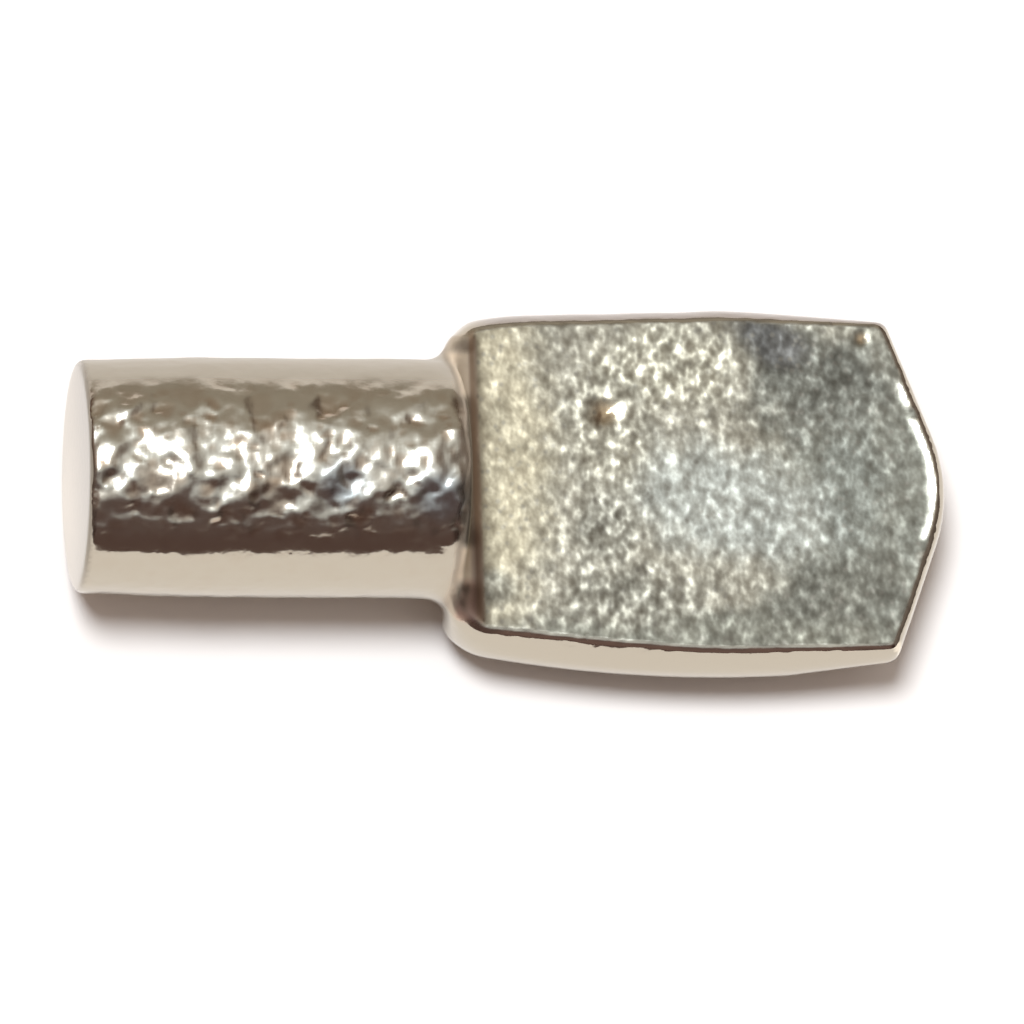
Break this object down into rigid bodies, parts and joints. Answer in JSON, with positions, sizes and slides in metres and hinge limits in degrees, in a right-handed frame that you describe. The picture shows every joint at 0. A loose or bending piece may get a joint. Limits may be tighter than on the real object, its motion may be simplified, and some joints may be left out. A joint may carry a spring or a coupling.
{
  "type": "shelf support pin",
  "caption": "Spade shelf support pin: a round pin that pushes into a cabinet side, pressed at its other end into a flat barrel-edged head that a shelf rests on.",
  "frame": {"origin": "where the pin's axis meets the plane of the shoulder, which stops against the cabinet side", "axes": "-X along the pin towards its free end, +X towards the head's nose, +Z out of the flat face that the shelf rests on"},
  "size_m": [0.0234, 0.01, 0.0064],
  "materials": {
    "nickel": "bright nickel plate over cold-formed steel, pitted, with a rougher struck face"
  },
  "bodies": {
    "root": {"shelf_pin": "nickel"}
  },
  "joints": []
}
